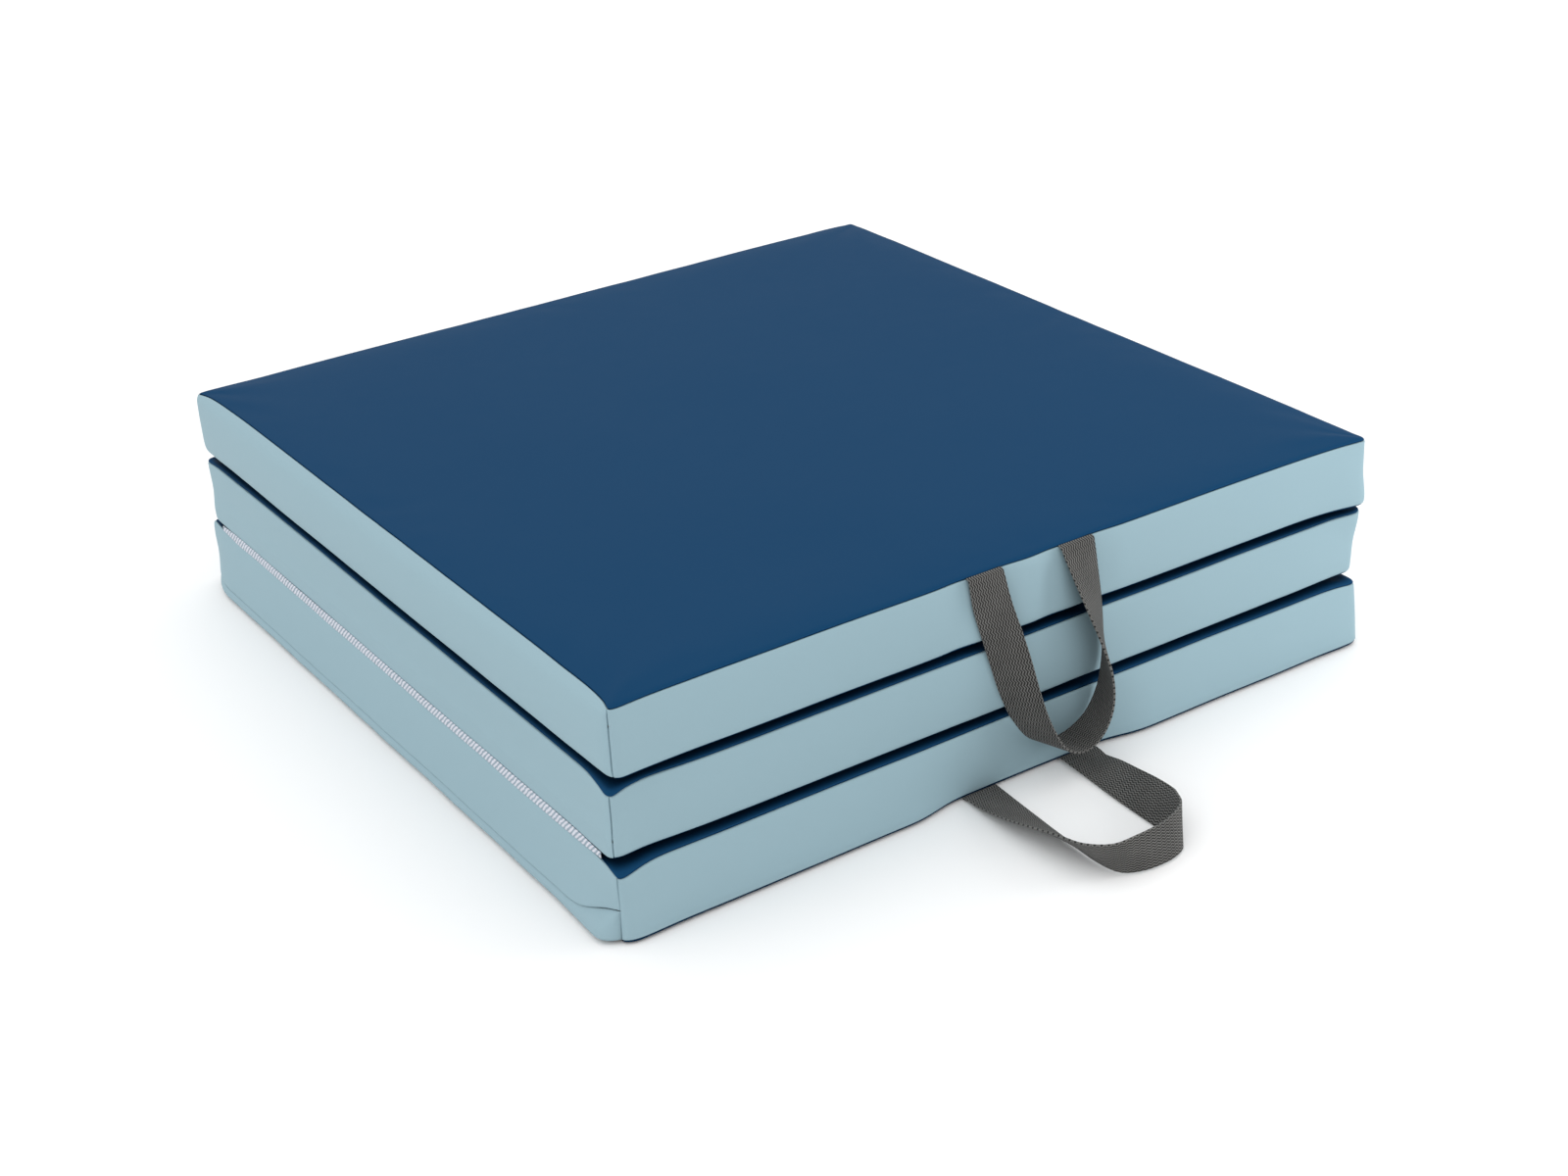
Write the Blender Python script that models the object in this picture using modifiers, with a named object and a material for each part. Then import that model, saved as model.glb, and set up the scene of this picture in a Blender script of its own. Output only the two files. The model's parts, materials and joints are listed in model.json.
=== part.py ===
"""A folding gym mat: three foam panels in zipped vinyl covers, folded in a Z, with two webbing handles.

The origin is the centre of the lowest panel's underside. +X is the way the mat unfolds, the fold lines
run along Y, the handles are on the -Y walls, and +Z is up. Everything is in metres.

Each panel is a foam block in a cover of a top sheet, a bottom sheet and side bands that meet at the
corner seams. One band is slit by a concealed zip. A strip of sewn tape hinges each fold.
"""

import math

import bpy
import numpy as np
from mathutils import Matrix, Vector

# Driving dimensions: a six foot by two foot mat, two inches thick, in three square panels.
PANEL = 0.610
THICK = 0.0508
FOLD_GAP = 0.004
CORNER_R = 0.012
SKIN = 0.001
CLEAR = 0.0003

# Webbing handles.
WEBBING_WIDTH = 0.0272
WEBBING_THICK = 0.0016
HANDLE_SEAM_DROP = 0.0014
STRAP_ROWS_PER_SPAN = 4

# Fold tape: one leaf each side of the fold line.
LEAF_HEIGHT = 0.0048
LEAF_THICK = 0.0009
LEAF_LENGTH = 0.575
LEAF_SPLIT = 0.0004

# Concealed zip, a quarter of the way up its wall.
ZIP_HEIGHT = THICK / 4
SLIT = 0.0016
GROOVE = (0.0060, 0.580, 0.0208)
TAPE_THICK = 0.0006
TAPE_HEIGHT = 0.008
TAPE_LENGTH = 0.572
COIL = (0.0018, 0.560, 0.0020)
STOP = (0.0020, 0.0035, 0.0060)
SLIDER_PARK = 0.272
SLIDER_BACK = (0.0017, 0.010, 0.0084)
SLIDER_FRONT = (0.0006, 0.009, 0.0060)
SLIDER_NECK = (0.004, 0.0010)
BAIL_WIRE = 0.0004
BAIL_EYE = 0.0012
BAIL = (BAIL_EYE + BAIL_WIRE, 0.0028, 0.0012)
PULL_LENGTH = 0.020
PULL_THICK = 0.0006

HALF = PANEL / 2
PITCH = THICK + FOLD_GAP
HINGE_OUT = HALF + FOLD_GAP / 2
ARC_STEPS = 5

# Name, level in the stack, wall of the zip (-1 is -X), and the face the zip is near (-1 is the underside).
PANELS = (("lower", 0, -1, -1), ("middle", 1, 1, -1), ("upper", 2, 1, 1))
# Name, lower panel, upper panel and the wall of the fold.
FOLDS = (("lower_fold", "lower", "middle", -1), ("upper_fold", "middle", "upper", 1))

NAVY = (0.016, 0.060, 0.145, 1)
PALE_BLUE = (0.36, 0.50, 0.57, 1)
CHARCOAL = (0.050, 0.052, 0.050, 1)
LAVENDER = (0.52, 0.55, 0.64, 1)
CREAM = (0.80, 0.76, 0.62, 1)
ZINC = (0.70, 0.71, 0.73, 1)


def clear_scene():
    for obj in list(bpy.data.objects):
        bpy.data.objects.remove(obj, do_unlink=True)


def new_collection(name):
    collection = bpy.data.collections.new(name)
    bpy.context.scene.collection.children.link(collection)
    return collection


def principled(name, colour, roughness, metallic=0.0):
    material = bpy.data.materials.new(name)
    material.use_nodes = True
    shader = material.node_tree.nodes["Principled BSDF"]
    shader.inputs["Base Color"].default_value = colour
    shader.inputs["Roughness"].default_value = roughness
    shader.inputs["Metallic"].default_value = metallic
    return material


def place(name, data, colour, roughness, metallic=0.0):
    """A new part of the mat with a material of its own."""
    obj = bpy.data.objects.new(name, data)
    MAT.objects.link(obj)
    obj.data.materials.clear()
    obj.data.materials.append(principled(name, colour, roughness, metallic))
    return obj


def pivot(name, at, parent=None):
    """An empty on a joint's axis. What moves about the axis is parented to it."""
    empty = bpy.data.objects.new(name, None)
    empty.empty_display_size = 0.02
    MAT.objects.link(empty)
    empty.location = at
    bpy.context.view_layer.update()
    if parent is not None:
        attach([empty], parent)
    return empty


def attach(objects, parent):
    """Parents objects without moving them."""
    bpy.context.view_layer.update()
    for obj in objects:
        world = obj.matrix_world.copy()
        obj.parent = parent
        obj.matrix_parent_inverse = parent.matrix_world.inverted()
        obj.matrix_world = world
    bpy.context.view_layer.update()


def arc(centre, radius, start, end, steps=ARC_STEPS):
    """Points along an arc, with angles in degrees."""
    angles = [math.radians(start + (end - start) * k / steps) for k in range(steps + 1)]
    return [(centre[0] + radius * math.cos(a), centre[1] + radius * math.sin(a)) for a in angles]


def rounded_square(half, radius):
    """The outline of a square with round corners."""
    c = half - radius
    corners = ((c, c, 0), (-c, c, 90), (-c, -c, 180), (c, -c, 270))
    return [p for x, y, start in corners for p in arc((x, y), radius, start, start + 90)]


def flat_curve(outlines, height):
    """Flat outlines, filled and given a height centred on their plane. An inner outline is a hole."""
    curve = bpy.data.curves.new("outline", "CURVE")
    curve.dimensions = "2D"
    curve.fill_mode = "BOTH"
    curve.extrude = height / 2
    for points in outlines:
        spline = curve.splines.new("POLY")
        spline.points.add(len(points) - 1)
        for point, (x, y) in zip(spline.points, points):
            point.co = (x, y, 0, 1)
        spline.use_cyclic_u = True
    return curve


def slab(name, outlines, low, high, colour, roughness):
    """A part with a flat outline, between two heights."""
    obj = place(name, flat_curve(outlines, high - low), colour, roughness)
    obj.location.z = (low + high) / 2
    return obj


def box_mesh(size, centre):
    """A box as mesh data, with its size and centre in its vertices."""
    bpy.ops.mesh.primitive_cube_add(size=1)
    obj = bpy.context.active_object
    mesh = obj.data
    mesh.transform(Matrix.Translation(centre) @ Matrix.Diagonal((*size, 1)))
    bpy.data.objects.remove(obj)
    return mesh


def block(name, size, centre, colour, roughness, metallic=0.0):
    """A box-shaped part with its origin at its centre."""
    obj = place(name, box_mesh(size, (0, 0, 0)), colour, roughness, metallic)
    obj.location = centre
    return obj


def tool(name, size, centre):
    """A hidden box for Booleans."""
    obj = bpy.data.objects.new(name, box_mesh(size, centre))
    TOOLS.objects.link(obj)
    obj.hide_render = True
    obj.display_type = "WIRE"
    return obj


def boolean(obj, other, operation):
    modifier = obj.modifiers.new(other.name, "BOOLEAN")
    modifier.operation = operation
    modifier.object = other


def band_outline(turns):
    """One side band seen from above, from corner seam to corner seam. turns is in quarter turns from -Y."""
    centre = HALF - CORNER_R
    trim = math.degrees(CLEAR / CORNER_R) / 2 + 0.2
    outer = arc((-centre, -centre), CORNER_R, 225 + trim, 270) + arc((centre, -centre), CORNER_R, 270, 315 - trim)
    inner_r = CORNER_R - SKIN
    inner = arc((-centre, -centre), inner_r, 225 + trim, 270) + arc((centre, -centre), inner_r, 270, 315 - trim)
    turn = Matrix.Rotation(math.radians(90 * turns), 2)
    return [tuple(turn @ Vector(p)) for p in outer + inner[::-1]]


def foam_core(name, base, zip_side, zip_z):
    """The foam block, with rounded upright edges and a groove behind the zip."""
    inset = SKIN + CLEAR
    width = PANEL - 2 * inset
    height = THICK - 2 * inset
    core = block(f"{name}_foam_core", (width, width, height), (0, 0, base + THICK / 2), CREAM, 0.9)
    weights = core.data.attributes.new("bevel_weight_edge", "FLOAT", "EDGE")
    for edge in core.data.edges:
        a, b = (core.data.vertices[i].co for i in edge.vertices)
        weights.data[edge.index].value = float(abs(a.z - b.z) > height / 2)
    bevel = core.modifiers.new("round_upright_edges", "BEVEL")
    bevel.limit_method = "WEIGHT"
    bevel.width = CORNER_R - inset
    bevel.segments = ARC_STEPS
    depth, length, tall = GROOVE
    outside = 0.01
    middle = HALF - inset - depth / 2 + outside / 2
    groove = tool(f"{name}_groove", (depth + outside, length, tall), (zip_side * middle, 0, zip_z))
    boolean(core, groove, "DIFFERENCE")
    return core


def cover(name, base, zip_side, zip_z):
    """The two sheets and the side bands of one panel."""
    outline = rounded_square(HALF, CORNER_R)
    bottom = slab(f"{name}_bottom_sheet", [outline], base, base + SKIN, NAVY, 0.55)
    top = slab(f"{name}_top_sheet", [outline], base + THICK - SKIN, base + THICK, NAVY, 0.55)
    low = base + SKIN + CLEAR
    high = base + THICK - SKIN - CLEAR
    parts = [bottom, top]
    walls = (("front", 0, None), ("right", 1, 1), ("back", 2, None), ("left", 3, -1))
    for wall, turns, side in walls:
        shape = [band_outline(turns)]
        if side == zip_side:
            parts.append(slab(f"{name}_zip_band_below", shape, low, zip_z - SLIT / 2, PALE_BLUE, 0.5))
            parts.append(slab(f"{name}_zip_band_above", shape, zip_z + SLIT / 2, high, PALE_BLUE, 0.5))
        else:
            parts.append(slab(f"{name}_{wall}_band", shape, low, high, PALE_BLUE, 0.5))
    return parts


def zip_chain(name, side, zip_z):
    """The fixed parts of a concealed zip: two tapes, two coils and the end stops."""
    tape_x = HALF - SKIN - CLEAR - TAPE_THICK / 2
    coil_x = tape_x - TAPE_THICK / 2 - CLEAR - COIL[0] / 2
    tape_z = SLIT + TAPE_HEIGHT / 2
    coil_z = SLIT / 2 + CLEAR + COIL[2] / 2
    parts = []
    for place_word, up in (("above", 1), ("below", -1)):
        at = (side * tape_x, 0, zip_z + up * tape_z)
        size = (TAPE_THICK, TAPE_LENGTH, TAPE_HEIGHT)
        parts.append(block(f"{name}_zip_tape_{place_word}", size, at, PALE_BLUE, 0.8))
        at = (side * coil_x, 0, zip_z + up * coil_z)
        parts.append(block(f"{name}_zip_coil_{place_word}", COIL, at, LAVENDER, 0.4))
    stop_y = COIL[1] / 2 + CLEAR + STOP[1] / 2
    for end_word, way in (("front", -1), ("back", 1)):
        at = (side * (coil_x - COIL[0] / 2), way * stop_y, zip_z)
        parts.append(block(f"{name}_zip_stop_{end_word}", STOP, at, ZINC, 0.35, 1.0))
    return parts


def zip_slider(name, side, park_y, zip_z):
    """A slider with its body behind the slit, a neck through it, and a face plate with a bail outside."""
    back_x = HALF - SKIN - CLEAR * 2 - TAPE_THICK - COIL[0] - CLEAR - SLIDER_BACK[0] / 2
    front_x = HALF + CLEAR + SLIDER_FRONT[0] / 2
    plate_face = front_x + SLIDER_FRONT[0] / 2
    slider = block(f"{name}_zip_slider", SLIDER_BACK, (side * back_x, park_y, zip_z), ZINC, 0.3, 1.0)
    neck = (front_x - back_x, *SLIDER_NECK)
    root = SLIDER_FRONT[0] / 2
    bail = (BAIL[0] + root, *BAIL[1:])
    pieces = {
        "neck": (neck, (back_x + front_x) / 2),
        "plate": (SLIDER_FRONT, front_x),
        "bail": (bail, plate_face + (BAIL[0] - root) / 2),
    }
    for word, (size, x) in pieces.items():
        boolean(slider, tool(f"{name}_slider_{word}", size, (side * x, park_y, zip_z)), "UNION")
    eye = (BAIL_EYE, BAIL_EYE, BAIL[2] * 2)
    boolean(slider, tool(f"{name}_bail_eye", eye, (side * pull_axis_x(), park_y, zip_z)), "DIFFERENCE")
    return slider


def pull_axis_x():
    """How far from the centre line the pull tab's upright axis is."""
    plate_face = HALF + CLEAR + SLIDER_FRONT[0]
    return plate_face + BAIL_EYE / 2


def pull_outline():
    """A tab seen flat, with its hinge bar at the origin and its length along +Y."""
    bar = PULL_THICK / 2
    eye_half, eye_far, tab_half, end_r = 0.0009, 0.0030, 0.0020, 0.0028
    centre = PULL_LENGTH - end_r
    end = arc((0, centre), end_r, 0, 180, 8)
    outer = [(-tab_half, -bar), (tab_half, -bar), (tab_half, eye_far + 0.001), *end, (-tab_half, eye_far + 0.001)]
    eye = [(-eye_half, bar), (-eye_half, eye_far), (eye_half, eye_far), (eye_half, bar)]
    return [outer, eye]


def zip_pull(name, side, park_y, zip_z, way):
    """The pull tab, flat against the wall. It points along Y from the bail, the way that way says."""
    pull = place(f"{name}_zip_pull", flat_curve(pull_outline(), PULL_THICK), ZINC, 0.3, 1.0)
    upright = Matrix.Rotation(math.radians(90), 4, "Y")
    turned = Matrix.Rotation(math.radians(180 if way < 0 else 0), 4, "X")
    pull.matrix_world = Matrix.Translation((side * pull_axis_x(), park_y, zip_z)) @ turned @ upright
    return pull


def panel(name, level, zip_side, zip_face):
    """One panel with its zip. Returns its fixed parts, its slider and its pull tab."""
    base = level * PITCH
    zip_z = base + (ZIP_HEIGHT if zip_face < 0 else THICK - ZIP_HEIGHT)
    fixed = [foam_core(name, base, zip_side, zip_z)]
    fixed += cover(name, base, zip_side, zip_z)
    fixed += zip_chain(name, zip_side, zip_z)
    way = zip_face
    park_y = -way * SLIDER_PARK
    slider = zip_slider(name, zip_side, park_y, zip_z)
    pull = zip_pull(name, zip_side, park_y, zip_z, way)
    return fixed, slider, pull


def fold_leaves(fold, below, above, side, hinge_z):
    """The two leaves of a fold's tape, one on each panel's wall, meeting at the fold line."""
    x = side * (HALF + CLEAR + LEAF_THICK / 2)
    size = (LEAF_THICK, LEAF_LENGTH, LEAF_HEIGHT)
    offset = (LEAF_HEIGHT + LEAF_SPLIT) / 2
    low = block(f"{fold}_leaf_{below}", size, (x, 0, hinge_z - offset), LAVENDER, 0.8)
    high = block(f"{fold}_leaf_{above}", size, (x, 0, hinge_z + offset), LAVENDER, 0.8)
    return low, high


def smooth(stations):
    """A Catmull-Rom curve through rows of numbers, with a few rows in each span."""
    rows = np.array(stations, float)
    rows = np.vstack([2 * rows[0] - rows[1], rows, 2 * rows[-1] - rows[-2]])
    out = []
    for k in range(1, len(rows) - 2):
        a, b, c, d = rows[k - 1 : k + 3]
        for step in range(STRAP_ROWS_PER_SPAN):
            t = step / STRAP_ROWS_PER_SPAN
            out.append(((2 * b) + (c - a) * t + (2 * a - 5 * b + 4 * c - d) * t**2
                        + (3 * b - a - 3 * c + d) * t**3) / 2)
    return out + [rows[-2]]


def strap(name, rails):
    """Webbing between two edges, given as a list of pairs of points along it."""
    mesh = bpy.data.meshes.new(name)
    points = [p for pair in rails for p in pair]
    faces = [(2 * k, 2 * k + 1, 2 * k + 3, 2 * k + 2) for k in range(len(rails) - 1)]
    mesh.from_pydata(points, [], faces)
    obj = place(name, mesh, CHARCOAL, 0.9)
    solid = obj.modifiers.new("webbing", "SOLIDIFY")
    solid.thickness = WEBBING_THICK
    solid.offset = 0
    return obj


def upper_handle_rails():
    """The hanging loop: flat on the wall at both seams, turning edge-on to the wall at its lowest point.

    Each station is x, z and how far the webbing has turned, in degrees, down one arm and up the other.
    """
    top = 2 * PITCH + THICK - HANDLE_SEAM_DROP
    stations = (
        (-0.0300, top, 0), (-0.0268, 0.137, 11), (-0.0210, 0.115, 22), (-0.0155, 0.093, 34),
        (-0.0097, 0.070, 46), (-0.0015, 0.048, 57), (0.0115, 0.028, 70), (0.0300, 0.0215, 85),
        (0.0480, 0.029, 98), (0.0585, 0.046, 106), (0.0608, 0.068, 116), (0.0575, 0.091, 130),
        (0.0530, 0.114, 146), (0.0480, 0.137, 162), (0.0440, top, 180),
    )
    wall = -HALF - CLEAR - WEBBING_THICK / 2
    rails = []
    for x, z, turn in smooth(stations):
        a = math.radians(turn)
        half = Vector((math.cos(a), -math.sin(a), 0)) * WEBBING_WIDTH / 2
        centre = Vector((x, wall - abs(half.y), z))
        rails.append((centre - half, centre + half))
    return rails


def lower_handle_rails():
    """The loop that lies out on the floor: flat at both seams, standing on one edge at its far end.

    Each station is the x and y of the edge on the floor, and how far the other edge leans along x and y,
    as a share of the webbing's width. The rest of the width stands up.
    """
    stations = (
        (-0.0204, -0.3056, -1, 0), (-0.0222, -0.327, -0.99, 0), (-0.0240, -0.350, -0.95, 0),
        (-0.0256, -0.372, -0.86, 0), (-0.0264, -0.392, -0.74, -0.05), (-0.0270, -0.412, -0.58, -0.18),
        (-0.0235, -0.429, -0.32, -0.14), (-0.0120, -0.4365, -0.08, 0.04), (0.0050, -0.4385, 0.03, 0.18),
        (0.0185, -0.436, 0.13, 0.30), (0.0262, -0.430, 0.27, 0.36), (0.0272, -0.416, 0.45, 0.20),
        (0.0276, -0.397, 0.68, 0), (0.0292, -0.366, 0.90, 0), (0.0322, -0.333, 0.99, 0),
        (0.0345, -0.3056, 1, 0),
    )
    rest = WEBBING_THICK / 2 + CLEAR
    rails = []
    for x, y, lean_x, lean_y in smooth(stations):
        up = math.sqrt(max(0, 1 - lean_x**2 - lean_y**2))
        floor_edge = Vector((x, y, rest))
        rails.append((floor_edge, floor_edge + Vector((lean_x, lean_y, up)) * WEBBING_WIDTH))
    return rails


clear_scene()
MAT = new_collection("folding_gym_mat")
TOOLS = new_collection("cutters")
TOOLS.hide_render = True

fold_heights = {"lower_fold": PITCH - FOLD_GAP / 2, "upper_fold": 2 * PITCH - FOLD_GAP / 2}
fold_sides = {fold: side for fold, _, _, side in FOLDS}
fixed_parts = {}
movers = {}
for panel_name, level, zip_side, zip_face in PANELS:
    fixed, slider, pull = panel(panel_name, level, zip_side, zip_face)
    fixed_parts[panel_name] = fixed
    movers[panel_name] = (slider, pull)
for fold, below, above, side in FOLDS:
    low_leaf, high_leaf = fold_leaves(fold, below, above, side, fold_heights[fold])
    fixed_parts[below].append(low_leaf)
    fixed_parts[above].append(high_leaf)

# The middle panel stays put, and the other two swing out about the fold lines.
carriers = {"middle": pivot("middle_panel", (0, 0, PITCH))}
for panel_name, fold in (("lower", "lower_fold"), ("upper", "upper_fold")):
    at = (fold_sides[fold] * HINGE_OUT, 0, fold_heights[fold])
    carriers[panel_name] = pivot(f"{panel_name}_panel", at, carriers["middle"])
for panel_name, parts in fixed_parts.items():
    attach(parts, carriers[panel_name])
    slider, pull = movers[panel_name]
    slide_pivot = pivot(f"{panel_name}_slider", pull.matrix_world.translation, carriers[panel_name])
    attach([slider], slide_pivot)
    attach([pull], slide_pivot)

# The upper handle turns about a line just outside its webbing, so that it clears the top edge when it stands up.
upper_seam_y = -HALF - CLEAR * 2 - WEBBING_THICK / 2
upper_seam = pivot("upper_handle", (0, upper_seam_y, 2 * PITCH + THICK - HANDLE_SEAM_DROP), carriers["upper"])
attach([strap("upper_handle_strap", upper_handle_rails())], upper_seam)
lower_seam = pivot("lower_handle", (0, -HALF - CLEAR * 2, WEBBING_THICK / 2 + CLEAR), carriers["lower"])
attach([strap("lower_handle_strap", lower_handle_rails())], lower_seam)
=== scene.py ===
import json
import math

import bpy
import numpy as np
from mathutils import Matrix, Vector, noise


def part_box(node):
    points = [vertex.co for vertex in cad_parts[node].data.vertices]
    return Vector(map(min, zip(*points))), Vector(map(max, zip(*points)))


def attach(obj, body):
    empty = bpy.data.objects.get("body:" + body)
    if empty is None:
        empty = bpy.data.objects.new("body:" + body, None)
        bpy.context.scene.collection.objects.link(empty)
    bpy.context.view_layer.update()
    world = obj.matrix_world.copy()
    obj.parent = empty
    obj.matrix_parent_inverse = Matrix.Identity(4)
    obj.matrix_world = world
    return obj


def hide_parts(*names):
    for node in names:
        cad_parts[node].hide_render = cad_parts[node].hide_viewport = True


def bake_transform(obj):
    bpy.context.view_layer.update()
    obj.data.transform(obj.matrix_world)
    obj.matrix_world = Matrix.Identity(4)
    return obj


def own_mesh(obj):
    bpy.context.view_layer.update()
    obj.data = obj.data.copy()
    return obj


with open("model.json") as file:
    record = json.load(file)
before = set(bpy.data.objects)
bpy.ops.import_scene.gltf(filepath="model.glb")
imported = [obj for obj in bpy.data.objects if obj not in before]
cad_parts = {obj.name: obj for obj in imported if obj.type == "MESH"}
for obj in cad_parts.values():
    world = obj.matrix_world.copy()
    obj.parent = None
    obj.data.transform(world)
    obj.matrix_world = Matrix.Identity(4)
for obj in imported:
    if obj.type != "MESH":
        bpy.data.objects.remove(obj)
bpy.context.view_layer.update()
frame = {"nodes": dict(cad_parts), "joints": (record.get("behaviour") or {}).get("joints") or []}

MM = 0.001
FRONT, RIGHT, BACK, LEFT = range(4)

# Frame sizes, read from the CAD nodes.
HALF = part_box("middle_bottom_sheet")[1].x
BASES = {name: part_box(f"{name}_bottom_sheet")[0].z for name in ("lower", "middle", "upper")}
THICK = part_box("middle_top_sheet")[1].z - BASES["middle"]
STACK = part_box("upper_top_sheet")[1].z
JOINTS = {joint["name"]: joint for joint in frame["joints"]}


def zip_height(name):
    """The height of a panel's zip slit above the panel's underside."""
    low_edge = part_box(f"{name}_zip_band_below")[1].z
    high_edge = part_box(f"{name}_zip_band_above")[0].z
    return (low_edge + high_edge) / 2 - BASES[name]


# ---------------------------------------------------------------------------------------------------
# Materials
# ---------------------------------------------------------------------------------------------------


class Nodes:
    """A short way to wire up a material."""

    def __init__(self, name):
        self.material = bpy.data.materials.new(name)
        self.material.use_nodes = True
        self.tree = self.material.node_tree
        self.shader = self.tree.nodes["Principled BSDF"]

    def add(self, kind, **values):
        """A new node. A value sets the node's own setting, or else its input: i0, i1 and on go by number."""
        node = self.tree.nodes.new(kind)
        for key, value in values.items():
            if hasattr(node, key):
                setattr(node, key, value)
            else:
                self.feed(node, key, value)
        return node

    def feed(self, node, name, value):
        """Sets an input, or links it where the value is another node's output."""
        socket = node.inputs[int(name[1:])] if name[0] == "i" and name[1:].isdigit() else node.inputs[name]
        if isinstance(value, bpy.types.NodeSocket):
            self.tree.links.new(value, socket)
        else:
            socket.default_value = value

    def set(self, **values):
        """Sets the shader's inputs, with _ for each space in their names."""
        for key, value in values.items():
            self.feed(self.shader, key.replace("_", " "), value)

    def math(self, operation, a, b=0.0, clamp=False):
        node = self.add("ShaderNodeMath", operation=operation, use_clamp=clamp, i0=a, i1=b)
        return node.outputs[0]

    def mix(self, factor, a, b):
        node = self.add("ShaderNodeMix", data_type="RGBA")
        self.feed(node, "i0", factor)
        self.feed(node, "i6", a)
        self.feed(node, "i7", b)
        return node.outputs[2]

    def span(self, value, low, high, to_low, to_high):
        node = self.add("ShaderNodeMapRange", i0=value, i1=low, i2=high, i3=to_low, i4=to_high)
        return node.outputs[0]

    def place(self, name="Object"):
        return self.add("ShaderNodeTexCoord").outputs[name]

    def bump(self, height, strength, distance):
        return self.add("ShaderNodeBump", Strength=strength, Distance=distance, Height=height).outputs[0]


def vinyl(name, colour, worn, roughness, shine, shade_keep, shade_onset):
    """Coated cover cloth: fine leather grain, a soft gloss, paler rubbed edges, and painted shade in
    recesses.

    The last two settings are the painted shade: how much of the colour is left in a narrow gap, and how
    little open air starts the darkening.
    """
    m = Nodes(name)
    at = m.place()
    grain = m.add("ShaderNodeTexVoronoi", feature="SMOOTH_F1", Vector=at, Scale=1100.0, Smoothness=0.6)
    fine = m.add("ShaderNodeTexNoise", Vector=at, Scale=2600.0, Detail=3.0)
    rub = m.add("ShaderNodeTexNoise", Vector=at, Scale=60.0, Detail=4.0, Roughness=0.6)
    cloud = m.add("ShaderNodeTexNoise", Vector=at, Scale=4.0, Detail=2.0)
    height = m.math("ADD", grain.outputs["Distance"], m.math("MULTIPLY", fine.outputs[0], 0.5))
    edge = m.span(m.add("ShaderNodeNewGeometry").outputs["Pointiness"], 0.54, 0.66, 0.0, 0.5)
    edge = m.math("MULTIPLY", edge, rub.outputs[0], clamp=True)
    darker = tuple(0.97 * c for c in colour[:3]) + (1,)
    base = m.mix(cloud.outputs[0], darker, colour)
    # Painted shade: the colour darkens where ambient occlusion finds little open air, in gaps and recesses.
    shade_ao = m.add("ShaderNodeAmbientOcclusion", samples=8, Distance=24 * MM).outputs["AO"]
    painted_shade_colour = tuple(shade_keep * c for c in colour[:3]) + (1,)
    m.set(Base_Color=m.mix(m.span(shade_ao, shade_onset, shade_onset + 0.5, 0.0, 1.0), painted_shade_colour, m.mix(edge, base, worn)))
    m.set(Roughness=m.span(rub.outputs[0], 0.3, 0.7, roughness, roughness + 0.02))
    m.set(Normal=m.bump(height, 0.20, 0.00010))
    m.set(Specular_IOR_Level=shine)
    return m.material


def twill(name, colour, thread, dark, rib_pitch, zigzag):
    """Herringbone webbing: ribs along the strap that zigzag. U runs along it and V across it, in metres."""
    m = Nodes(name)
    uv = m.add("ShaderNodeSeparateXYZ", i0=m.place("UV"))
    along, across = uv.outputs[0], uv.outputs[1]
    zig = m.math("MULTIPLY", m.math("PINGPONG", along, zigzag), 0.6)
    phase = m.math("DIVIDE", m.math("ADD", across, zig), rib_pitch)
    rib = m.math("MULTIPLY", m.math("PINGPONG", phase, 0.5), 2.0)
    yarn = m.math("PINGPONG", m.math("DIVIDE", along, rib_pitch * 0.5), 0.5)
    weave = m.math("MULTIPLY", m.span(rib, 0.2, 0.85, 0.0, 1.0), m.math("ADD", yarn, 0.5))
    fuzz = m.add("ShaderNodeTexNoise", Vector=m.place("UV"), Scale=4200.0, Detail=2.0)
    blotch = m.add("ShaderNodeTexNoise", Vector=m.place("UV"), Scale=45.0, Detail=3.0)
    shade = m.math("MULTIPLY", weave, m.span(fuzz.outputs[0], 0.3, 0.7, 0.8, 1.15))
    m.set(Base_Color=m.mix(shade, dark, m.mix(blotch.outputs[0], colour, thread)))
    m.set(Roughness=m.span(weave, 0, 1, 0.95, 0.70), Normal=m.bump(weave, 1.0, 0.0005))
    m.set(Specular_IOR_Level=0.25, Sheen_Weight=0.08)
    return m.material


def tape_cloth(name, colour, thread):
    """Narrow woven tape with a fine rib across it."""
    m = Nodes(name)
    at = m.place()
    rib = m.add("ShaderNodeTexWave", wave_type="BANDS", bands_direction="Y", Vector=at, Scale=420.0)
    warp = m.add("ShaderNodeTexWave", wave_type="BANDS", bands_direction="Z", Vector=at, Scale=520.0)
    fuzz = m.add("ShaderNodeTexNoise", Vector=at, Scale=1800.0, Detail=3.0)
    weave = m.math("MULTIPLY", rib.outputs[1], warp.outputs[1])
    m.set(Base_Color=m.mix(m.math("MULTIPLY", weave, fuzz.outputs[0]), colour, thread))
    m.set(Roughness=0.85, Normal=m.bump(weave, 0.5, 0.0002))
    m.set(Specular_IOR_Level=0.2)
    return m.material


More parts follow.
